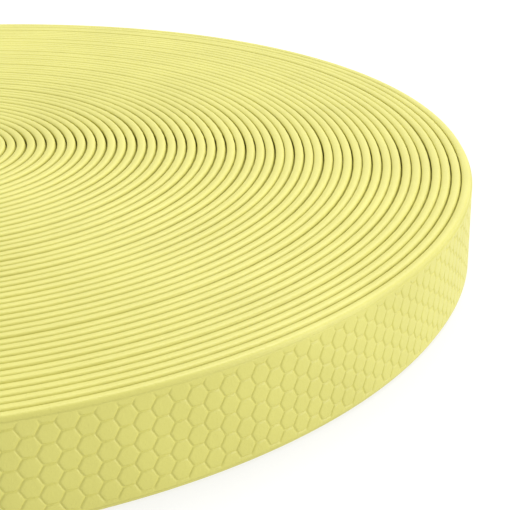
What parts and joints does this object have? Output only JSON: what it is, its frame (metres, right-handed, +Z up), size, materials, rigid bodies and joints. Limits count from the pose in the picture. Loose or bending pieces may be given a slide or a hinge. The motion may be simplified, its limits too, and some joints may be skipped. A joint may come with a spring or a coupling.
{
  "type": "webbing roll",
  "caption": "Flat round coil of coated webbing with a honeycomb-embossed face, wound edge-up; its outer tail and inner start end bend free of the coil.",
  "frame": {"origin": "middle of the winding, on the surface that the roll lies on", "axes": "+Z up along the axis of the winding, square to the flat side of the roll; +X to the right and +Y away from the viewer"},
  "size_m": [0.2746, 0.2734, 0.0206],
  "materials": {
    "coating": "matte, finely grained, lemon yellow",
    "carrier": "raw woven polyester, off-white"
  },
  "bodies": {
    "coil": {"coating_wound": "coating", "carrier_wound": "carrier"},
    "tail_1": {"coating_tail_1": "coating", "carrier_tail_1": "carrier"},
    "tail_2": {"coating_tail_2": "coating", "carrier_tail_2": "carrier"},
    "tail_3": {"coating_tail_3": "coating", "carrier_tail_3": "carrier"},
    "tail_4": {"coating_tail_4": "coating", "carrier_tail_4": "carrier"},
    "tail_5": {"coating_tail_5": "coating", "carrier_tail_5": "carrier"},
    "tail_6": {"coating_tail_6": "coating", "carrier_tail_6": "carrier"},
    "start_1": {"coating_start_1": "coating", "carrier_start_1": "carrier"},
    "start_2": {"coating_start_2": "coating", "carrier_start_2": "carrier"},
    "start_3": {"coating_start_3": "coating", "carrier_start_3": "carrier"}
  },
  "joints": [
    {"name": "tail_bend_1", "type": "hinge", "parent": "coil", "child": "tail_1", "pos_m": [-0.12625, 0.0523, 0.0103], "axis": [0, 0, -1], "range_deg": [0, 12], "stiffness_Nm_per_rad": 0.01},
    {"name": "tail_bend_2", "type": "hinge", "parent": "tail_1", "child": "tail_2", "pos_m": [-0.13204, 0.03538, 0.0103], "axis": [0, 0, -1], "range_deg": [0, 12], "stiffness_Nm_per_rad": 0.01},
    {"name": "tail_bend_3", "type": "hinge", "parent": "tail_2", "child": "tail_3", "pos_m": [-0.13558, 0.01785, 0.0103], "axis": [0, 0, -1], "range_deg": [0, 12], "stiffness_Nm_per_rad": 0.01},
    {"name": "tail_bend_4", "type": "hinge", "parent": "tail_3", "child": "tail_4", "pos_m": [-0.1368, 0, 0.0103], "axis": [0, 0, -1], "range_deg": [0, 12], "stiffness_Nm_per_rad": 0.01},
    {"name": "tail_bend_5", "type": "hinge", "parent": "tail_4", "child": "tail_5", "pos_m": [-0.13568, -0.01786, 0.0103], "axis": [0, 0, -1], "range_deg": [0, 12], "stiffness_Nm_per_rad": 0.01},
    {"name": "tail_bend_6", "type": "hinge", "parent": "tail_5", "child": "tail_6", "pos_m": [-0.13224, -0.03543, 0.0103], "axis": [0, 0, -1], "range_deg": [0, 12], "stiffness_Nm_per_rad": 0.01},
    {"name": "start_bend_1", "type": "hinge", "parent": "coil", "child": "start_1", "pos_m": [0, -0.01864, 0.0103], "axis": [0, 0, -1], "range_deg": [0, 12], "stiffness_Nm_per_rad": 0.002},
    {"name": "start_bend_2", "type": "hinge", "parent": "start_1", "child": "start_2", "pos_m": [-0.00708, -0.01709, 0.0103], "axis": [0, 0, -1], "range_deg": [0, 12], "stiffness_Nm_per_rad": 0.002},
    {"name": "start_bend_3", "type": "hinge", "parent": "start_2", "child": "start_3", "pos_m": [-0.01297, -0.01297, 0.0103], "axis": [0, 0, -1], "range_deg": [0, 12], "stiffness_Nm_per_rad": 0.002}
  ],
  "couplings": [
    {"joint": "tail_bend_2", "follows": "tail_bend_1", "ratio": 1},
    {"joint": "tail_bend_3", "follows": "tail_bend_1", "ratio": 1},
    {"joint": "tail_bend_4", "follows": "tail_bend_1", "ratio": 1},
    {"joint": "tail_bend_5", "follows": "tail_bend_1", "ratio": 1},
    {"joint": "tail_bend_6", "follows": "tail_bend_1", "ratio": 1},
    {"joint": "start_bend_2", "follows": "start_bend_1", "ratio": 1},
    {"joint": "start_bend_3", "follows": "start_bend_1", "ratio": 1}
  ]
}
